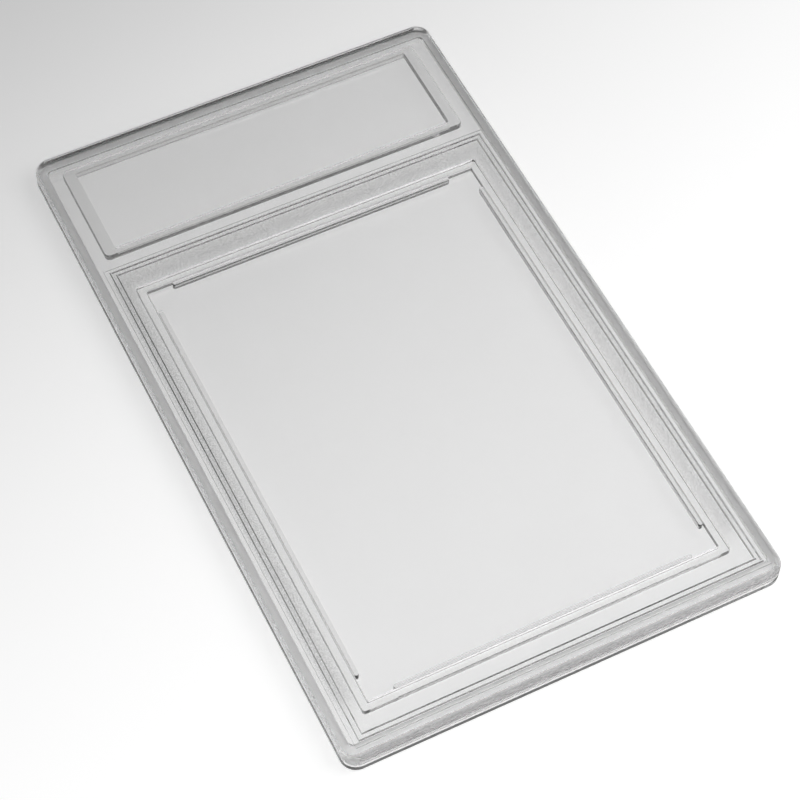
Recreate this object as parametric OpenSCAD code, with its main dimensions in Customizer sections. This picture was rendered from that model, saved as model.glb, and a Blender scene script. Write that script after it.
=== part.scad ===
// Two-piece display case for one standard trading card, in millimetres.
// X is the width, Y the length with the label end at +Y, and Z is up from the resting face.

/* [Card] */

// Width of the card that the rails centre
card_w = 63.5; // [50:0.5:90]
// Length of the card
card_l = 88.9; // [60:0.5:130]
// Clearance between the card and a rail on every side
card_clear = 0.45; // [0.2:0.05:1]
// Height of the space between the two plates
card_gap = 1.45; // [1:0.05:4]

/* [Rails and well] */

// Thickness of a card rail
rail_t = 0.85; // [0.6:0.05:1.4]
// Length left free at each end of a rail, so that the card's corners touch nothing
rail_relief = 4; // [2:0.5:10]
// Thickness of the wall that stands around the rails
well_wall_t = 1.5; // [1:0.1:2.5]
// Space between the wall around the rails and the outer walls
well_margin = 4.75; // [4.2:0.05:8]

/* [Label pocket] */

// Width of the label pocket
label_w = 68.8; // [30:0.2:70]
// Length of the label pocket along the case
label_l = 19.2; // [12:0.2:40]
// Thickness of the ribs at the pocket's two short sides
label_rib_side = 2.3; // [1:0.1:3]
// Thickness of the ribs along the pocket's two long sides
label_rib_long = 1.45; // [1:0.05:3]
// Space between the pocket's rib and the end wall
label_end_gap = 0.95; // [0.5:0.05:4]
// Space between the pocket's rib and the wall around the rails
bar_gap = 8.8; // [6.5:0.1:15]

/* [Shells] */

// Thickness of the back plate
back_plate = 2.4; // [2:0.05:4]
// Thickness of the front plate
front_plate = 2.1; // [1.8:0.05:4]
// Wall between the hollow and the case's long sides
side_wall = 1.85; // [1.8:0.05:3]
// Wall between the hollow and the case's two ends
end_wall = 2.85; // [2.2:0.05:4]
// Corner radius seen from above
corner_r = 3; // [2.4:0.1:5]
// Rounding of the outer front and back edges
edge_r = 1.6; // [0.6:0.1:1.8]

/* [Window beads] */

// Width of each raised bead around the card window
bead_w = 0.4; // [0.3:0.01:0.8]
// Width of each of a bead's two sloping flanks
bead_flank = 0.13; // [0.05:0.01:0.14]
// Height of the inner and the middle bead above the front face
bead_h = 0.4; // [0.1:0.05:0.6]
// Height of the outer bead, which is the lowest
outer_bead_h = 0.12; // [0.05:0.01:0.4]
// Distance from one bead to the next
bead_pitch = 0.92; // [0.85:0.01:1]
// Distance from the wall around the rails to the middle bead's outside, at the long sides
bead_side = 3.25; // [2.2:0.05:3.4]
// The same distance at the foot
bead_foot = 5; // [2.2:0.05:5.2]
// The same distance at the label end
bead_top = 4.2; // [2.2:0.05:6]

/* [Closing joint] */

// Height of the joint line above the back plate's inner face
joint_rise = 0.3; // [0.1:0.05:0.6]
// Thickness of the closing tongue along the long sides
tongue_side = 0.8; // [0.6:0.05:0.9]
// Thickness of the closing tongue along the ends
tongue_end = 1.2; // [0.6:0.05:1.3]
// Depth that the tongue reaches into the front plate
tongue_bite = 0.25; // [0.1:0.05:0.6]
// Clearance around the tongue and between facing ribs and plates
fit_gap = 0.1; // [0.04:0.01:0.15]
// Chamfer on both shells that shows as the joint line
seam_chamfer = 0.3; // [0.1:0.05:0.35]
// Space between the shells at the joint line
seam_gap = 0.04; // [0.02:0.01:0.08]

/* [Hidden] */

// Half sizes of the spaces, from the card outwards
rail_x = card_w / 2 + card_clear;
rail_y = card_l / 2 + card_clear;
well_x = rail_x + rail_t + fit_gap;
well_y = rail_y + rail_t + fit_gap;
well_outer_x = well_x + well_wall_t;
well_outer_y = well_y + well_wall_t;
label_x = label_w / 2;
label_y = label_l / 2;
label_outer_x = label_x + label_rib_side;
label_outer_y = label_y + label_rib_long;

// The hollow between the plates holds the well and the pocket
hollow_x = max(well_outer_x + well_margin, label_outer_x + label_end_gap);
hollow_y = (well_margin + 2 * well_outer_y + bar_gap + 2 * label_outer_y + label_end_gap) / 2;
well_cy = -hollow_y + well_margin + well_outer_y;
label_cy = hollow_y - label_end_gap - label_outer_y;

// Outside of the case
half_w = hollow_x + side_wall;
half_l = hollow_y + end_wall;
case_w = 2 * half_w;
case_l = 2 * half_l;

// Corner radii seen from above
hollow_r = max(corner_r - side_wall, 0.5);
tongue_r = hollow_r + tongue_side;
well_r = 0.2;
well_outer_r = 0.5;
label_r = 0.3;
label_outer_r = 1;

// Heights
joint_z = back_plate + joint_rise;
front_joint_z = joint_z + seam_gap;
front_under = back_plate + card_gap;
face_z = front_under + front_plate;
rib_top = front_under - fit_gap;
tongue_x = hollow_x + tongue_side;
tongue_y = hollow_y + tongue_end;
tongue_top = front_under + tongue_bite;

// Middle window bead, as the place and half sizes of its outside
bead_x = well_outer_x + bead_side;
bead_y = well_outer_y + (bead_foot + bead_top) / 2;
bead_cy = well_cy + (bead_top - bead_foot) / 2;

// Depth that joined shapes run into each other, and a height past everything
overlap = 0.3;
tall = 30;

// Facets of the small rounds and of the outer corners in the preview
round_fn = 48;
corner_fn = 96;

// Flat rounded rectangle given by its half sizes
module rounded_rect(hx, hy, r) {
    square([2 * (hx - r), 2 * hy], center = true);
    square([2 * hx, 2 * (hy - r)], center = true);
    for (sx = [-1, 1]) {
        for (sy = [-1, 1]) {
            translate([sx * (hx - r), sy * (hy - r)])
                circle(r = r, $fn = round_fn);
        }
    }
}

// Upright ring between two rounded rectangles
module ring(outer_x, outer_y, outer_r, inner_x, inner_y, inner_r, z0, z1) {
    translate([0, 0, z0])
        linear_extrude(height = z1 - z0)
            difference() {
                rounded_rect(outer_x, outer_y, outer_r);
                rounded_rect(inner_x, inner_y, inner_r);
            }
}

// Half of a shell's section from its axis outwards, with the rounded face at z = 0
module half_section(reach, h) {
    wall_top = h - seam_chamfer;
    square([reach - edge_r, edge_r + overlap]);
    translate([0, edge_r])
        square([reach, wall_top - edge_r]);
    polygon([
        [0, wall_top - overlap],
        [reach, wall_top - overlap],
        [reach, wall_top],
        [reach - seam_chamfer, h],
        [0, h]
    ]);
    translate([reach - edge_r, edge_r])
        intersection() {
            circle(r = edge_r, $fn = round_fn);
            translate([0, -edge_r])
                square([edge_r, edge_r]);
        }
}

// The same section on both sides of its axis
module full_section(reach, h) {
    half_section(reach, h);
    mirror([1, 0])
        half_section(reach, h);
}

// Solid shell blank with its rounded face down at z = 0 and its joint face up at z = h
module shell_blank(h) {
    rotate([90, 0, 0])
        linear_extrude(height = case_l - 2 * corner_r, center = true)
            full_section(half_w, h);
    rotate([90, 0, 90])
        linear_extrude(height = case_w - 2 * corner_r, center = true)
            full_section(half_l, h);
    for (sx = [-1, 1]) {
        for (sy = [-1, 1]) {
            translate([sx * (half_w - corner_r), sy * (half_l - corner_r), 0])
                rotate_extrude($fn = corner_fn)
                    half_section(corner_r, h);
        }
    }
}

// Section of a bar whose sides slope from its foot at z = 0 to its top, with a straight part below
module bar_section(foot, top, h, below) {
    polygon([
        [-foot, -below],
        [foot, -below],
        [foot, 0],
        [top, h],
        [-top, h],
        [-foot, 0]
    ]);
}

// Block whose four sides slope inwards by the same amount
module sloped_block(foot_x, foot_y, slope, h, below) {
    intersection() {
        rotate([90, 0, 0])
            linear_extrude(height = 2 * foot_y + tall, center = true)
                bar_section(foot_x, foot_x - slope, h, below);
        rotate([90, 0, 90])
            linear_extrude(height = 2 * foot_x + tall, center = true)
                bar_section(foot_y, foot_y - slope, h, below);
    }
}

// Raised bead around the card window with mitred corners, moved outwards from the middle bead
module window_bead(outwards, h) {
    flank = bead_flank * min(h / bead_h, 1);
    foot_x = bead_x + outwards;
    foot_y = bead_y + outwards;
    translate([0, bead_cy, face_z])
        difference() {
            sloped_block(foot_x, foot_y, flank, h, overlap);
            sloped_block(foot_x - bead_w, foot_y - bead_w, -flank, h, tall);
        }
}

// One card rail along Y with rounded ends
module rail(half_length) {
    round_r = rail_t / 2;
    linear_extrude(height = rib_top - back_plate + overlap) {
        square([rail_t, 2 * (half_length - round_r)], center = true);
        for (end = [-1, 1]) {
            translate([0, end * (half_length - round_r)])
                circle(r = round_r, $fn = round_fn);
        }
    }
}

// The four rails that centre the card
module card_rails() {
    mid_x = rail_x + rail_t / 2;
    mid_y = rail_y + rail_t / 2;
    translate([0, well_cy, back_plate - overlap]) {
        for (side = [-1, 1]) {
            translate([side * mid_x, 0, 0])
                rail(rail_y - rail_relief);
            translate([0, side * mid_y, 0])
                rotate([0, 0, 90])
                    rail(rail_x - rail_relief);
        }
    }
}

// Rib around the label pocket
module label_rib() {
    translate([0, label_cy, 0])
        ring(
            label_outer_x, label_outer_y, label_outer_r,
            label_x, label_y, label_r,
            back_plate - overlap, rib_top
        );
}

// Tongue around the edge that closes into the front shell
module closing_tongue() {
    ring(
        tongue_x, tongue_y, tongue_r,
        hollow_x, hollow_y, hollow_r,
        joint_z - overlap, tongue_top
    );
}

// Room for the tongue, cut from the front shell
module tongue_groove() {
    ring(
        tongue_x + fit_gap, tongue_y + fit_gap, tongue_r + fit_gap,
        hollow_x - fit_gap, hollow_y - fit_gap, hollow_r - fit_gap,
        0, tongue_top + fit_gap
    );
}

// Wall that stands around the rails when the case is closed
module well_wall() {
    translate([0, well_cy, 0])
        ring(
            well_outer_x, well_outer_y, well_outer_r,
            well_x, well_y, well_r,
            back_plate + fit_gap, front_under + overlap
        );
}

// Back shell: plate, outer wall, closing tongue, card rails and label rib
module back_shell() {
    color([0.86, 0.9, 0.92, 0.4]) {
        difference() {
            shell_blank(joint_z);
            translate([0, 0, back_plate])
                linear_extrude(height = tall)
                    rounded_rect(hollow_x, hollow_y, hollow_r);
        }
        closing_tongue();
        card_rails();
        label_rib();
    }
}

// Front shell: plate, outer wall, window beads, groove for the tongue and the wall around the rails
module front_shell() {
    color([0.9, 0.94, 0.96, 0.4]) {
        difference() {
            union() {
                translate([0, 0, face_z])
                    mirror([0, 0, 1])
                        shell_blank(face_z - front_joint_z);
                window_bead(-bead_pitch, bead_h);
                window_bead(0, bead_h);
                window_bead(bead_pitch, outer_bead_h);
            }
            translate([0, 0, front_under - tall])
                linear_extrude(height = tall)
                    rounded_rect(hollow_x, hollow_y, hollow_r);
            tongue_groove();
        }
        well_wall();
    }
}

back_shell();
front_shell();
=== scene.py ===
"""Clear two-piece display case for one trading card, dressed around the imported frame.

Every length is in metres, in the frame's own axes: X is the width, Y runs towards the label end
and Z is up from the face that the case lies on.
"""

import math
from typing import NamedTuple

import bmesh
import bpy
from mathutils import Euler, Matrix, Vector


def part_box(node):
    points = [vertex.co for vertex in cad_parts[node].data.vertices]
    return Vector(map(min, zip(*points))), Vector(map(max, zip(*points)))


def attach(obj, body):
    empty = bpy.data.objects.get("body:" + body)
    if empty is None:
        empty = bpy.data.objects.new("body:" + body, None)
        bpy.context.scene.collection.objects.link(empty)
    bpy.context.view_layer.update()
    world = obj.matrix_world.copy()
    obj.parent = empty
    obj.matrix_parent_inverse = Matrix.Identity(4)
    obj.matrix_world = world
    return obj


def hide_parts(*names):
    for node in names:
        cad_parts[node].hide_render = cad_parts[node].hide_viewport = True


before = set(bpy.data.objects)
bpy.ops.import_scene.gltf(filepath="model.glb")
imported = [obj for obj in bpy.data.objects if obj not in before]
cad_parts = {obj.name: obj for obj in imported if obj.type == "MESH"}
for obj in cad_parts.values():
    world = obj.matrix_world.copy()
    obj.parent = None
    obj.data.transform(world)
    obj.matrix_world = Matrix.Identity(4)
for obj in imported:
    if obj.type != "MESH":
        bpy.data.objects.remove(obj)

bl_info = {
    "name": "Trading Card Display Case",
    "version": (1, 0, 0),
    "blender": (4, 5, 0),
    "location": "3D Viewport > Sidebar > Display Case",
    "description": "Models the two clear shells of a trading card display case, with a pale studio",
    "category": "Add Mesh",
}

MM = 0.001
_, BACK_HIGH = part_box("back_shell")
FRONT_LOW, FRONT_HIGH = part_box("front_shell")

BITE = 0.3 * MM  # depth that a rib runs into its plate before the two become one
SLIT = 0.05 * MM  # soft border of the faces inside the closing joint
TOUCH = MM / 1000  # points nearer than this are one
LEVEL = MM / 100  # an edge that rises less than this lies flat
WELL_CORNER, WELL_CORNER_STEP = 0.2 * MM, 0.3 * MM  # radius inside the well wall, and what its outside adds
LABEL_CORNER, LABEL_CORNER_STEP = 0.3 * MM, 0.7 * MM  # the same for the label rib
CRISP = math.radians(50)  # an edge that turns more than this gets the soft edge
CROWN = math.radians(20)  # the same for the top of a window bead
SMOOTH = math.radians(35)  # faces that meet at less than this are shaded as one
SOFT_SEGMENTS = 2
RIB_SEGMENTS = 8
FLAT_WEIGHT = 50  # how far the large faces keep the shading flat

REFRACTION = 1.5
CLOUD_SCALE = 35.0
WAVE_SCALE = 90.0
GRAIN_SCALE = 4200.0
SPECK_FROM, SPECK_TO = 0.45, 0.6  # part of the grain over which a speck fades in

MOTTLE_SCALE = 22.0
MOTTLE = 0.96  # tone of the floor's darker parts
OVERHEAD_FROM, OVERHEAD_TO = 0.1, 0.75  # heights between which the sky overhead fades in
LIT_FROM, LIT_TO = 0.1, 0.9  # the same for its bright side, by how far a direction faces it
BEHIND_FROM, BEHIND_TO = 0.5, 0.95  # and for the low sky behind the case
KEY_SIZE = 0.5
KEY_PLACE = (0.30, -0.25, 0.55)
KEY_TARGET = (0.05, -0.04, 0.0)
BEFORE = Vector((0.3, -0.95, 0)).normalized()  # from behind the case to before it, along the floor
NEAR_RIGHT = Vector((0.5, -0.6, 0.62)).normalized()  # side of the large soft light
AWAY = Vector((0.46, 0.888, 0)).normalized()  # along the floor, away from the camera


def length(name, description, default):
    """A size in metres for a property group."""
    return bpy.props.FloatProperty(
        name=name,
        description=description,
        default=default,
        min=0.0,
        precision=5,
        subtype="DISTANCE",
        unit="LENGTH",
    )


def colour(name, description, default):
    """A colour for a property group."""
    return bpy.props.FloatVectorProperty(
        name=name, description=description, default=default, size=3, min=0.0, max=1.0, subtype="COLOR"
    )


def number(name, description, default, low=0.0, high=1000.0):
    """A plain number for a property group."""
    return bpy.props.FloatProperty(
        name=name, description=description, default=default, min=low, max=high, precision=4
    )


def angle(name, description, degrees):
    """An angle for a property group, kept in radians."""
    return bpy.props.FloatProperty(
        name=name, description=description, default=math.radians(degrees), subtype="ANGLE", unit="ROTATION"
    )


def count(name, description, default):
    """A number of segments for a property group."""
    return bpy.props.IntProperty(name=name, description=description, default=default, min=1, max=64)


class CASE_PG_sizes(bpy.types.PropertyGroup):
    """Sizes of the case. The outside comes from the frame."""

    half_width: length("Half width", "Middle plane to a long side", BACK_HIGH.x)
    half_length: length("Half length", "Middle plane to an end", BACK_HIGH.y)
    tongue_top: length("Tongue top", "Resting face to the top of the closing tongue", BACK_HIGH.z)
    wall_foot: length("Well wall foot", "Resting face to the foot of the well wall", FRONT_LOW.z)
    bead_crown: length("Bead crown", "Resting face to the top of the window bead", FRONT_HIGH.z)

    card_width: length("Card width", "Width of the card that the rails centre", 63.5 * MM)
    card_length: length("Card length", "Length of the card", 88.9 * MM)
    card_clearance: length("Card clearance", "Space between the card and a rail", 0.45 * MM)
    rail: length("Rail", "Thickness of a card rail", 0.85 * MM)
    rail_relief: length("Rail relief", "Length left free at each end of a rail", 4 * MM)
    well_wall: length("Well wall", "Thickness of the wall around the rails", 1.5 * MM)
    well_margin: length("Well margin", "Well wall to the hollow's edge", 4.75 * MM)

    label_width: length("Label width", "Width of the label pocket", 68.8 * MM)
    label_length: length("Label length", "Length of the label pocket", 19.2 * MM)
    label_rib_side: length("Label rib, sides", "Rib at the pocket's short sides", 2.3 * MM)
    label_rib_long: length("Label rib, long", "Rib along the pocket's long sides", 1.45 * MM)
    label_end_gap: length("Label end gap", "Label rib to the hollow's edge", 0.95 * MM)

    back_plate: length("Back plate", "Thickness of the back plate", 2.4 * MM)
    front_plate: length("Front plate", "Thickness of the front plate", 2.1 * MM)
    side_wall: length("Side wall", "Hollow to the outside at the long sides", 1.85 * MM)
    end_wall: length("End wall", "Hollow to the outside at the ends", 2.85 * MM)
    corner: length("Corner radius", "Outer corners seen from above", 3 * MM)
    rim: length("Rim radius", "Rounding of the outer front and back edges", 1.6 * MM)

    bead: length("Bead", "Width of each window bead", 0.4 * MM)
    bead_flank: length("Bead flank", "Width of each sloping flank of a bead", 0.13 * MM)
    bead_height: length("Bead height", "Front face to the top of the inner and middle beads", 0.4 * MM)
    outer_bead_height: length("Outer bead height", "Front face to the top of the outer bead", 0.12 * MM)
    bead_pitch: length("Bead pitch", "One bead to the next", 0.92 * MM)
    bead_side: length("Bead offset, sides", "Well wall to the middle bead's outside", 3.25 * MM)
    bead_foot: length("Bead offset, foot", "Well wall to the middle bead's outside", 5 * MM)
    bead_top: length("Bead offset, label end", "Well wall to the middle bead's outside", 4.2 * MM)

    joint_rise: length("Joint rise", "Back plate's inner face to the joint line", 0.3 * MM)
    tongue_side: length("Tongue, sides", "Thickness of the tongue along the long sides", 0.8 * MM)
    tongue_end: length("Tongue, ends", "Thickness of the tongue along the ends", 1.2 * MM)
    fit_gap: length("Fit gap", "Clearance around the tongue and the ribs", 0.1 * MM)
    seam_chamfer: length("Seam chamfer", "Chamfer on both shells at the joint line", 0.3 * MM)
    seam_gap: length("Seam gap", "Space between the shells at the joint line", 0.04 * MM)

    soft_edge: length("Soft edge", "Rounding that moulding leaves on a crisp edge", 0.07 * MM)
    rib_edge: length("Rib edge", "Rounding of the edges of the rails and ribs", 0.18 * MM)
    corner_segments: count("Corner segments", "Facets of an outer corner, seen from above", 20)
    rim_segments: count("Rim segments", "Facets of the rounded rim", 16)


class CASE_PG_finish(bpy.types.PropertyGroup):
    """Look of the clear plastic."""

    back_tint: colour("Back tint", "Colour of the back shell's surface", (0.94, 0.94, 0.94))
    front_tint: colour("Front tint", "Colour of the front shell's surface", (0.945, 0.945, 0.945))
    tint_drift: number("Tint drift", "How far the tint drifts over a moulding", 0.01, high=0.2)
    body_tint: colour("Body tint", "Colour that the plastic takes on where it is deep", (0.5, 0.5, 0.5))
    body_density: number("Body density", "How fast it takes it on, for each metre of depth", 28.0)
    # Grey of the fine specks around the card well; the ribs are also greyed with it as painted shade
    speck_and_shade_tint: colour("Speck tint", "Colour of the fine specks around the card well", (0.68, 0.68, 0.68))
    # How far the ribs take that grey: painted shade standing in for the dark look of the clear ribs
    back_rib_shade: number("Back rib tone", "How far the rails and the label rib take it", 0.7, high=1.0)
    front_rib_shade: number("Front rib tone", "How far the wall around the rails takes it", 0.1, high=1.0)
    polish: number("Polish", "Roughness of the polished faces", 0.015, high=1.0)
    frost: number("Frost", "Roughness of the faces around the card well", 0.14, high=1.0)
    joint_frost: number("Joint frost", "Roughness of the faces inside the closing joint", 1.0, high=1.0)
    ripple: length("Ripple", "Depth of the slight waves that moulding leaves", 0.004 * MM)
    stipple: length("Stipple", "Depth of the fine stipple around the card well", 0.012 * MM)


class CASE_PG_studio(bpy.types.PropertyGroup):
    """Floor, light and camera."""

    floor_tint: colour("Floor", "Colour of the floor", (0.53, 0.53, 0.53))
    glow_far: colour("Far glow", "Light that the floor gives off behind the case", (0.17, 0.17, 0.17))
    glow_near: colour("Near glow", "Light that it gives off before the case", (0.76, 0.76, 0.76))
    glow_behind: length("Glow behind", "Distance behind the middle at which the far glow is reached", 0.2)
    glow_before: length("Glow before", "Distance before it at which the near glow is reached", 0.06)
    floor_reach: length("Floor reach", "Half the width of the floor", 3.0)
    floor_gap: length("Floor gap", "Floor to the resting face, so that the two don't flicker", 0.03 * MM)
    dome: number("Dome", "Strength of the sky on the side of the large soft light", 0.6)
    dark_side: number("Dark side", "Share of it that is left on the other side", 0.3, high=1.0)
    far_horizon: number("Far horizon", "Strength of the sky low down behind the case", 0.8)
    backdrop: number("Backdrop", "Strength of the sky where the camera sees it", 0.9)
    key_power: number("Key light", "Power of the large soft light, in watts", 1.2)
    aim: bpy.props.FloatVectorProperty(
        name="Aim",
        description="Point on the front face that the camera looks at",
        default=(-2.84 * MM, -10.09 * MM, 6.35 * MM),
        size=3,
        subtype="TRANSLATION",
        unit="LENGTH",
    )
    distance: length("Camera distance", "Camera to the aim", 421 * MM)
    azimuth: angle("Azimuth", "Turn of the camera about Z from straight along Y", -27.41)
    elevation: angle("Elevation", "Height of the camera above the horizon", 56.43)
    roll: angle("Roll", "Turn of the camera about its own axis", 1.21)
    lens: bpy.props.FloatProperty(
        name="Lens",
        description="Focal length for a sensor 36 mm wide",
        default=108.03,
        subtype="DISTANCE_CAMERA",
    )


class Outline(NamedTuple):
    """Rounded rectangle seen from above, by its half sizes, its corner radius and its middle's Y."""

    x: float
    y: float
    radius: float
    middle: float = 0.0

    def grown(self, by_x, by_y, by_radius):
        """The outline moved outwards by its own amount at the sides, the ends and the corners."""
        return Outline(self.x + by_x, self.y + by_y, self.radius + by_radius, self.middle)


class Layout:
    """Outlines and heights that both shells share, worked out from the sizes."""

    def __init__(self, sizes):
        s = sizes
        self.outside = Outline(s.half_width, s.half_length, s.corner)
        self.hollow = self.outside.grown(-s.side_wall, -s.end_wall, -s.side_wall)
        self.tongue = self.hollow.grown(s.tongue_side, s.tongue_end, s.tongue_side)
        self.groove_out = self.tongue.grown(s.fit_gap, s.fit_gap, s.fit_gap)
        self.groove_in = self.hollow.grown(-s.fit_gap, -s.fit_gap, -s.fit_gap)
        self.joint_face = self.outside.grown(-s.seam_chamfer, -s.seam_chamfer, -s.seam_chamfer)

        rail_x = s.card_width / 2 + s.card_clearance
        rail_y = s.card_length / 2 + s.card_clearance
        well_x = rail_x + s.rail + s.fit_gap
        well_y = rail_y + s.rail + s.fit_gap
        middle = s.well_margin + s.well_wall + well_y - self.hollow.y
        self.rails = Outline(rail_x, rail_y, 0.0, middle)
        self.well = Outline(well_x, well_y, WELL_CORNER, middle)
        self.well_outside = self.well.grown(s.well_wall, s.well_wall, WELL_CORNER_STEP)
        self.bead = Outline(
            self.well_outside.x + s.bead_side,
            self.well_outside.y + (s.bead_foot + s.bead_top) / 2,
            0.0,
            middle + (s.bead_top - s.bead_foot) / 2,
        )

        label_outer_y = s.label_length / 2 + s.label_rib_long
        label_middle = self.hollow.y - s.label_end_gap - label_outer_y
        self.label = Outline(s.label_width / 2, s.label_length / 2, LABEL_CORNER, label_middle)
        self.label_outside = self.label.grown(s.label_rib_side, s.label_rib_long, LABEL_CORNER_STEP)

        self.plate_inside = s.back_plate
        self.joint = s.back_plate + s.joint_rise
        self.front_joint = self.joint + s.seam_gap
        self.face = s.bead_crown - s.bead_height
        self.ceiling = self.face - s.front_plate
        self.rib_top = self.ceiling - s.fit_gap
        self.groove_top = s.tongue_top + s.fit_gap


def flat_face(bm, highest):
    """The highest or the lowest face."""
    pick = max if highest else min
    return pick(bm.faces, key=lambda face: face.calc_center_median().z)


def bevel(bm, edges, radius, segments):
    """Rounds the edges."""
    bmesh.ops.bevel(
        bm,
        geom=list(edges),
        offset=radius,
        offset_type="OFFSET",
        segments=segments,
        profile=0.5,
        affect="EDGES",
        material=-1,
        clamp_overlap=False,
    )


def block(bm, outline, bottom, top, segments):
    """Upright block with rounded corners."""
    size = Matrix.Diagonal((2 * outline.x, 2 * outline.y, top - bottom, 1))
    place = Matrix.Translation((0, outline.middle, (bottom + top) / 2))
    bmesh.ops.create_cube(bm, size=1, matrix=place @ size)
    upright = [edge for edge in bm.edges if abs(edge.verts[0].co.z - edge.verts[1].co.z) > LEVEL]
    if outline.radius > 0:
        bevel(bm, upright, outline.radius, segments)


def inset_to(bm, face, old, new):
    """Insets a flat face from one outline to the next, by its own amount at the sides and the ends."""
    thickness = old.radius - new.radius
    bmesh.ops.inset_region(bm, faces=[face], thickness=thickness, use_even_offset=True, use_boundary=True)
    shift_x = new.x - old.x + thickness
    shift_y = new.y - old.y + thickness
    for vert in face.verts:
        vert.co.x += shift_x * math.copysign(1, vert.co.x)
        vert.co.y += shift_y * math.copysign(1, vert.co.y - new.middle)
    return face


def step(bm, face, old, new, level):
    """Insets a flat face to a new outline and carries it to another level, which leaves a step."""
    inner = inset_to(bm, face, old, new)
    moved = bmesh.ops.extrude_discrete_faces(bm, faces=[inner])["faces"][0]
    for vert in moved.verts:
        vert.co.z = level
    return moved


def soften(bm, width):
    """Rounds every crisp edge slightly, as a moulding's edges are."""
    crisp = [edge for edge in bm.edges if edge.is_manifold and edge.calc_face_angle() > CRISP]
    bevel(bm, crisp, width, SOFT_SEGMENTS)


def ring(outer, inner, bottom, top, width):
    """Closed upright ring between two outlines, with slightly rounded edges."""
    bm = bmesh.new()
    block(bm, outer, bottom, top, RIB_SEGMENTS)
    upper, lower = flat_face(bm, True), flat_face(bm, False)
    loops = []
    for face in (upper, lower):
        loops += inset_to(bm, face, outer, inner).edges[:]
    bmesh.ops.delete(bm, geom=[upper, lower], context="FACES_ONLY")
    bmesh.ops.bridge_loops(bm, edges=loops)
    bmesh.ops.recalc_face_normals(bm, faces=bm.faces[:])
    soften(bm, width)
    return bm


def rail(half_x, half_y, x, y, bottom, top, width):
    """One card rail with round ends."""
    bm = bmesh.new()
    radius = min(half_x, half_y)
    block(bm, Outline(half_x, half_y, radius), bottom, top, RIB_SEGMENTS)
    bmesh.ops.remove_doubles(bm, verts=bm.verts[:], dist=TOUCH)
    bmesh.ops.translate(bm, verts=bm.verts[:], vec=(x, y, 0))
    soften(bm, width)
    return bm


def card_rails(s, layout, foot):
    """The four rails that centre the card."""
    half, middle = s.rail / 2, layout.rails.middle
    rails = []
    for side in (-1, 1):
        at_side = (half, layout.rails.y - s.rail_relief, side * (layout.rails.x + half), middle)
        at_end = (layout.rails.x - s.rail_relief, half, 0.0, middle + side * (layout.rails.y + half))
        for place in (at_side, at_end):
            rails.append(rail(*place, foot, layout.rib_top, s.rib_edge))
    return rails


def window_bead(outline, width, flank, foot, height, soft):
    """Raised bead around the card window, with mitred corners and sloping flanks."""
    bm = bmesh.new()
    place = Matrix.Translation((0, outline.middle, foot - BITE))
    size = Matrix.Diagonal((outline.x, outline.y, 1, 1))
    bmesh.ops.create_grid(bm, x_segments=1, y_segments=1, size=1, matrix=place @ size)
    inside = bm.faces[:]
    made = bmesh.ops.inset_region(bm, faces=inside, thickness=width, use_even_offset=True, use_boundary=True)
    bmesh.ops.delete(bm, geom=inside, context="FACES_ONLY")
    frame_faces = made["faces"]
    geometry = frame_faces + bm.edges[:] + bm.verts[:]
    raised = bmesh.ops.extrude_face_region(bm, geom=geometry, use_keep_orig=True)
    upper = [item for item in raised["geom"] if isinstance(item, bmesh.types.BMFace)]
    verts = list(dict.fromkeys(vert for face in upper for vert in face.verts))
    bmesh.ops.translate(bm, verts=verts, vec=(0, 0, BITE))
    bmesh.ops.recalc_face_normals(bm, faces=bm.faces[:])
    bmesh.ops.inset_region(
        bm, faces=upper, thickness=flank, depth=height, use_even_offset=True, use_boundary=True
    )
    crown = [edge for face in upper for edge in face.edges if edge.calc_face_angle() > CROWN]
    bevel(bm, dict.fromkeys(crown), soft, SOFT_SEGMENTS)
    return bm


def window_beads(s, layout):
    """The three beads around the card window, from the inner one to the low outer one."""
    heights = (s.bead_height, s.bead_height, s.outer_bead_height)
    beads = []
    for place, height in enumerate(heights, -1):
        outline = layout.bead.grown(place * s.bead_pitch, place * s.bead_pitch, 0.0)
        flank = s.bead_flank * height / s.bead_height
        beads.append(window_bead(outline, s.bead, flank, layout.face, height, flank / 2))
    return beads


def new_object(name, bm):
    """A mesh object at the origin."""
    mesh = bpy.data.meshes.new(name)
    bm.to_mesh(mesh)
    bm.free()
    made = bpy.data.objects.new(name, mesh)
    bpy.context.scene.collection.objects.link(made)
    return made


def unite(shell, ribs):
    """Makes the shell and its ribs one moulding, with no plastic left inside the plastic."""
    joined = bmesh.new()
    for bm in ribs:
        mesh = bpy.data.meshes.new("ribs")
        bm.to_mesh(mesh)
        bm.free()
        joined.from_mesh(mesh)
        bpy.data.meshes.remove(mesh)
    tool = new_object("ribs", joined)
    union = shell.modifiers.new("Ribs", "BOOLEAN")
    union.operation = "UNION"
    union.solver = "EXACT"
    union.use_self = True
    union.object = tool
    graph = bpy.context.evaluated_depsgraph_get()
    mesh = bpy.data.meshes.new_from_object(shell.evaluated_get(graph))
    shell.modifiers.clear()
    old = shell.data
    shell.data = mesh
    mesh.name = shell.name
    bpy.data.meshes.remove(old)
    bpy.data.objects.remove(tool)


def shade(shell):
    """Smooth rims between flat faces that stay flat."""
    shell.data.shade_smooth()
    shell.data.set_sharp_from_angle(angle=SMOOTH)
    weights = shell.modifiers.new("Flat faces", "WEIGHTED_NORMAL")
    weights.mode = "FACE_AREA"
    weights.weight = FLAT_WEIGHT
    weights.keep_sharp = True


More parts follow.
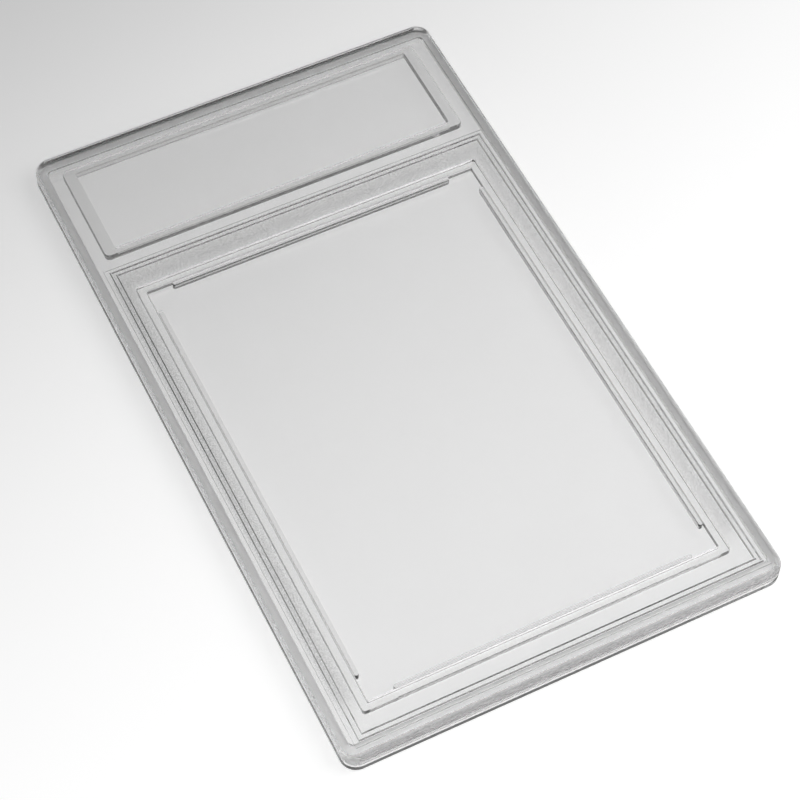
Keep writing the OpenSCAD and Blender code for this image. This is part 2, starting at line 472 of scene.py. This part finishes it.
class Wire:
    """An output of a node. Arithmetic on it adds Math nodes."""

    def __init__(self, graph, socket):
        self.graph = graph
        self.socket = socket

    def __add__(self, other):
        return self.graph.maths("ADD", self, other)

    def __sub__(self, other):
        return self.graph.maths("SUBTRACT", self, other)

    def __rsub__(self, other):
        return self.graph.maths("SUBTRACT", other, self)

    def __mul__(self, other):
        return self.graph.maths("MULTIPLY", self, other)

    def __abs__(self):
        return self.graph.maths("ABSOLUTE", self)

    def beside(self, output):
        """Another output of the same node."""
        return Wire(self.graph, self.socket.node.outputs[output])

    __radd__ = __add__
    __rmul__ = __mul__


def opaque(tint):
    """A colour with its alpha, or a linked one as it is."""
    return tint if isinstance(tint, Wire) else (*tint, 1.0)


class Graph:
    """The node tree of a material or of the world."""

    def __init__(self, tree):
        self.tree = tree
        tree.nodes.clear()

    def add(self, kind, settings=None, inputs=None, output=""):
        """Adds a node, sets it, gives its sockets values or links, and returns one of its outputs."""
        node = self.tree.nodes.new(kind)
        for key, value in (settings or {}).items():
            setattr(node, key, value)
        for key, value in (inputs or {}).items():
            socket = next(item for item in node.inputs if item.identifier == key)
            if isinstance(value, Wire):
                self.tree.links.new(value.socket, socket)
            else:
                socket.default_value = value
        chosen = (item for item in node.outputs if output in ("", item.identifier))
        return Wire(self, next(chosen, None))

    def maths(self, operation, first, second=0.0):
        """A Math node on one or two values."""
        values = {"Value": first, "Value_001": second}
        return self.add("ShaderNodeMath", {"operation": operation}, values)

    def noise(self, vector, scale, detail):
        """Soft random pattern from 0 to 1."""
        return self.add("ShaderNodeTexNoise", inputs={"Vector": vector, "Scale": scale, "Detail": detail})

    def blend(self, share, first, second):
        """Colour that goes from the first to the second."""
        inputs = {"Factor_Float": share, "A_Color": opaque(first), "B_Color": opaque(second)}
        return self.add("ShaderNodeMix", {"data_type": "RGBA"}, inputs, output="Result_Color")

    def rise(self, value, start, end, least=0.0):
        """Smooth rise from a least value, where a value is at the start, to 1 at the end."""
        inputs = {"Value": value, "From Min": start, "From Max": end, "To Min": least}
        return self.add("ShaderNodeMapRange", {"interpolation_type": "SMOOTHSTEP"}, inputs)

    def fade(self, distance, blur):
        """1 where a distance is negative, 0 where it is positive, with a soft border."""
        return self.rise(distance, blur / 2, -blur / 2)

    def dot(self, vector, direction):
        """How far a vector reaches in a direction."""
        inputs = {"Vector": vector, "Vector_001": direction}
        return self.add("ShaderNodeVectorMath", {"operation": "DOT_PRODUCT"}, inputs, output="Value")


def within(graph, x, y, outline, blur):
    """1 inside an outline, 0 outside it, with a soft border."""
    over_x = abs(x) - outline.x
    over_y = abs(y - outline.middle) - outline.y
    return graph.fade(graph.maths("MAXIMUM", over_x, over_y), blur)


def band(graph, x, y, outer, inner, blur):
    """1 between two outlines, 0 elsewhere, with soft borders."""
    return within(graph, x, y, outer, blur) * (1 - within(graph, x, y, inner, blur))


def layer(graph, z, low, high, blur):
    """1 between two heights, 0 elsewhere, with soft borders."""
    return graph.fade(abs(z - (low + high) / 2) - (high - low) / 2, blur)


def clear_plastic(name, tint, rib_shade, layout, finish, seed):
    """Clear moulded plastic: polished, with slight waves, and specked and frosted around the card well. The
    specks are left off the near end as painted light, and the ribs are greyed as painted shade.
    """
    material = bpy.data.materials.new(name)
    material.use_nodes = True
    graph = Graph(material.node_tree)
    place = graph.add("ShaderNodeTexCoord", output="Object")
    shift = {"Vector": place, "Vector_001": (seed, 0, 0)}
    apart = graph.add("ShaderNodeVectorMath", {"operation": "ADD"}, shift)
    x = graph.add("ShaderNodeSeparateXYZ", inputs={"Vector": place}, output="X")
    y, z = x.beside("Y"), x.beside("Z")

    frosted = band(graph, x, y, layout.bead, layout.well_outside, MM)
    ends = band(graph, x, y, layout.joint_face, layout.groove_in, SLIT)
    jointed = ends * layer(graph, z, layout.joint, layout.groove_top, SLIT)
    reach = 2 * (layout.bead.x - layout.well_outside.x)
    foot = layout.well_outside.middle - layout.well_outside.y
    # Painted light: the specks fade out towards the well's near end, which leaves the band lighter on the
    # side where the light falls
    shaded_side = (1 - within(graph, x, y, layout.well_outside, reach)) * graph.rise(y, foot, foot + reach)
    upright = layer(graph, z, layout.plate_inside + SLIT, layout.ceiling - SLIT, SLIT)
    # Painted shade: the rails, the label rib and the wall around the rails are greyed towards the speck
    # colour
    ribbed = within(graph, x, y, layout.groove_in, SLIT) * upright * rib_shade
    cloud = graph.noise(apart, CLOUD_SCALE, 3.0)
    grain = graph.noise(apart, GRAIN_SCALE, 2.0)
    waves = graph.noise(apart, WAVE_SCALE, 1.0)

    # Specks where the grain peaks, joined with the painted shade on the ribs
    specks_and_shade = graph.maths("MAXIMUM", frosted * shaded_side * graph.rise(grain, SPECK_FROM, SPECK_TO), ribbed)
    darker = tuple(max(part - finish.tint_drift, 0.0) for part in tint)
    base = graph.blend(specks_and_shade, graph.blend(cloud, darker, tint), finish.speck_and_shade_tint)
    roughness = finish.polish + frosted * (finish.frost - finish.polish) * grain
    roughness = graph.maths("MAXIMUM", roughness, jointed * finish.joint_frost)

    height = waves + frosted * grain * (finish.stipple / finish.ripple)
    relief = {"Height": height, "Distance": finish.ripple, "Strength": 1.0}
    bumpy = graph.add("ShaderNodeBump", inputs=relief)

    surface = graph.add(
        "ShaderNodeBsdfPrincipled",
        inputs={
            "Base Color": base,
            "Roughness": roughness,
            "Normal": bumpy,
            "IOR": REFRACTION,
            "Transmission Weight": 1.0,
        },
    )
    depth = graph.add(
        "ShaderNodeVolumeAbsorption",
        inputs={"Color": opaque(finish.body_tint), "Density": finish.body_density},
    )
    graph.add("ShaderNodeOutputMaterial", inputs={"Surface": surface, "Volume": depth})
    return material


def groups(context):
    """The case's sizes, layout and finish in the current scene."""
    scene = context.scene
    return scene.case_sizes, Layout(scene.case_sizes), scene.case_finish


class CASE_OT_back_shell(bpy.types.Operator):
    """Model the back shell: plate, outer wall, closing tongue, card rails and label rib"""

    bl_idname = "case.back_shell"
    bl_label = "Back Shell"

    def execute(self, context):
        s, layout, finish = groups(context)
        bm = bmesh.new()
        block(bm, layout.outside, 0.0, layout.joint, s.corner_segments)
        bevel(bm, flat_face(bm, False).edges, s.rim, s.rim_segments)
        bevel(bm, flat_face(bm, True).edges, s.seam_chamfer, 1)
        face = step(bm, flat_face(bm, True), layout.joint_face, layout.tongue, s.tongue_top)
        step(bm, face, layout.tongue, layout.hollow, layout.plate_inside)
        soften(bm, s.soft_edge)
        shell = new_object("back_case", bm)

        foot = layout.plate_inside - BITE
        label_rib = ring(layout.label_outside, layout.label, foot, layout.rib_top, s.rib_edge)
        unite(shell, [*card_rails(s, layout, foot), label_rib])
        shade(shell)
        plastic = clear_plastic("clear_back", finish.back_tint, finish.back_rib_shade, layout, finish, 1.0)
        shell.data.materials.append(plastic)
        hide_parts("back_shell")
        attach(shell, "back")
        return {"FINISHED"}


class CASE_OT_front_shell(bpy.types.Operator):
    """Model the front shell: plate, outer wall, groove, window beads and the wall around the rails"""

    bl_idname = "case.front_shell"
    bl_label = "Front Shell"

    def execute(self, context):
        s, layout, finish = groups(context)
        bm = bmesh.new()
        block(bm, layout.outside, layout.front_joint, layout.face, s.corner_segments)
        bevel(bm, flat_face(bm, True).edges, s.rim, s.rim_segments)
        bevel(bm, flat_face(bm, False).edges, s.seam_chamfer, 1)
        face = step(bm, flat_face(bm, False), layout.joint_face, layout.groove_out, layout.groove_top)
        step(bm, face, layout.groove_out, layout.groove_in, layout.ceiling)
        soften(bm, s.soft_edge)
        shell = new_object("front_case", bm)

        well_wall = ring(layout.well_outside, layout.well, s.wall_foot, layout.ceiling + BITE, s.rib_edge)
        unite(shell, [well_wall, *window_beads(s, layout)])
        shade(shell)
        plastic = clear_plastic("clear_front", finish.front_tint, finish.front_rib_shade, layout, finish, 2.0)
        shell.data.materials.append(plastic)
        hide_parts("front_shell")
        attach(shell, "front")
        return {"FINISHED"}


def pale_floor(studio):
    """Matt pale floor, lit from below like a light table, and more so before the case than behind it."""
    material = bpy.data.materials.new("pale_floor")
    material.use_nodes = True
    graph = Graph(material.node_tree)
    place = graph.add("ShaderNodeTexCoord", output="Object")
    darker = tuple(part * MOTTLE for part in studio.floor_tint)
    base = graph.blend(graph.noise(place, MOTTLE_SCALE, 4.0), darker, studio.floor_tint)
    near = graph.rise(graph.dot(place, BEFORE), -studio.glow_behind, studio.glow_before)
    glow = graph.blend(near, studio.glow_far, studio.glow_near)
    surface = graph.add(
        "ShaderNodeBsdfPrincipled",
        inputs={
            "Base Color": base,
            "Roughness": 0.9,
            "Specular IOR Level": 0.1,
            "Emission Color": glow,
            "Emission Strength": 1.0,
        },
    )
    graph.add("ShaderNodeOutputMaterial", inputs={"Surface": surface})
    return material


def studio_sky(studio):
    """Sky that is bright overhead towards the near right and low down behind the case.

    Clear edges turn dark where they look at the rest of it.
    """
    world = bpy.data.worlds.new("studio_sky")
    world.use_nodes = True
    graph = Graph(world.node_tree)
    direction = graph.add("ShaderNodeTexCoord", output="Generated")
    split = graph.add("ShaderNodeSeparateXYZ", inputs={"Vector": direction}, output="Z")
    height = graph.rise(split, OVERHEAD_FROM, OVERHEAD_TO)
    lit = graph.rise(graph.dot(direction, NEAR_RIGHT), LIT_FROM, LIT_TO, studio.dark_side)
    overhead = height * lit
    low = (1 - height) * graph.rise(graph.dot(direction, AWAY), BEHIND_FROM, BEHIND_TO)
    strength = overhead * studio.dome + low * studio.far_horizon
    seen = graph.add("ShaderNodeLightPath", output="Is Camera Ray")
    level = strength * (1 - seen) + seen * studio.backdrop
    light = graph.add("ShaderNodeBackground", inputs={"Color": (1, 1, 1, 1), "Strength": level})
    graph.add("ShaderNodeOutputWorld", inputs={"Surface": light})
    return world


def aimed(name, data, place, target, roll=0.0):
    """Links a light or camera that looks from a place at a target."""
    item = bpy.data.objects.new(name, data)
    turn = (Vector(target) - Vector(place)).to_track_quat("-Z", "Y").to_matrix()
    item.matrix_world = Matrix.Translation(place) @ (turn @ Euler((0, 0, roll)).to_matrix()).to_4x4()
    bpy.context.scene.collection.objects.link(item)
    return item


class CASE_OT_studio(bpy.types.Operator):
    """Set up the pale floor, the soft light and the camera"""

    bl_idname = "case.studio"
    bl_label = "Studio"

    def execute(self, context):
        studio, scene = context.scene.case_studio, context.scene
        bm = bmesh.new()
        level = Matrix.Translation((0, 0, -studio.floor_gap))
        bmesh.ops.create_grid(bm, x_segments=1, y_segments=1, size=studio.floor_reach, matrix=level)
        floor = new_object("floor", bm)
        floor.data.materials.append(pale_floor(studio))

        scene.world = studio_sky(studio)
        key = bpy.data.lights.new("key", "AREA")
        key.shape = "DISK"
        key.size = KEY_SIZE
        key.energy = studio.key_power
        aimed("key", key, KEY_PLACE, KEY_TARGET)

        aim = Vector(studio.aim)
        flat = math.cos(studio.elevation) * studio.distance
        back = Vector(
            (
                math.sin(studio.azimuth) * flat,
                -math.cos(studio.azimuth) * flat,
                math.sin(studio.elevation) * studio.distance,
            )
        )
        camera = bpy.data.cameras.new("camera")
        camera.lens = studio.lens
        camera.clip_start = 0.01
        scene.camera = aimed("camera", camera, aim + back, aim, studio.roll)

        scene.view_settings.view_transform = "Standard"
        cycles = scene.cycles
        cycles.max_bounces = 28
        cycles.transmission_bounces = 24
        cycles.glossy_bounces = 24
        cycles.diffuse_bounces = 4
        cycles.blur_glossy = 0.0
        return {"FINISHED"}


class CASE_PT_panel(bpy.types.Panel):
    """Panel with the case's steps and settings"""

    bl_idname = "CASE_PT_panel"
    bl_label = "Display Case"
    bl_space_type = "VIEW_3D"
    bl_region_type = "UI"
    bl_category = "Display Case"

    def draw(self, context):
        for step_class in STEPS:
            self.layout.operator(step_class.bl_idname)
        for group in (context.scene.case_sizes, context.scene.case_finish, context.scene.case_studio):
            box = self.layout.box()
            for name in group.__annotations__:
                box.prop(group, name)


STEPS = (CASE_OT_back_shell, CASE_OT_front_shell, CASE_OT_studio)
CLASSES = (CASE_PG_sizes, CASE_PG_finish, CASE_PG_studio, *STEPS, CASE_PT_panel)


def register():
    for item in CLASSES:
        bpy.utils.register_class(item)
    bpy.types.Scene.case_sizes = bpy.props.PointerProperty(type=CASE_PG_sizes)
    bpy.types.Scene.case_finish = bpy.props.PointerProperty(type=CASE_PG_finish)
    bpy.types.Scene.case_studio = bpy.props.PointerProperty(type=CASE_PG_studio)


def unregister():
    del bpy.types.Scene.case_studio
    del bpy.types.Scene.case_finish
    del bpy.types.Scene.case_sizes
    for item in reversed(CLASSES):
        bpy.utils.unregister_class(item)


def main():
    """Makes the whole scene."""
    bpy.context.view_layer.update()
    register()
    bpy.ops.case.back_shell()
    bpy.ops.case.front_shell()
    bpy.ops.case.studio()


if __name__ == "__main__":
    main()
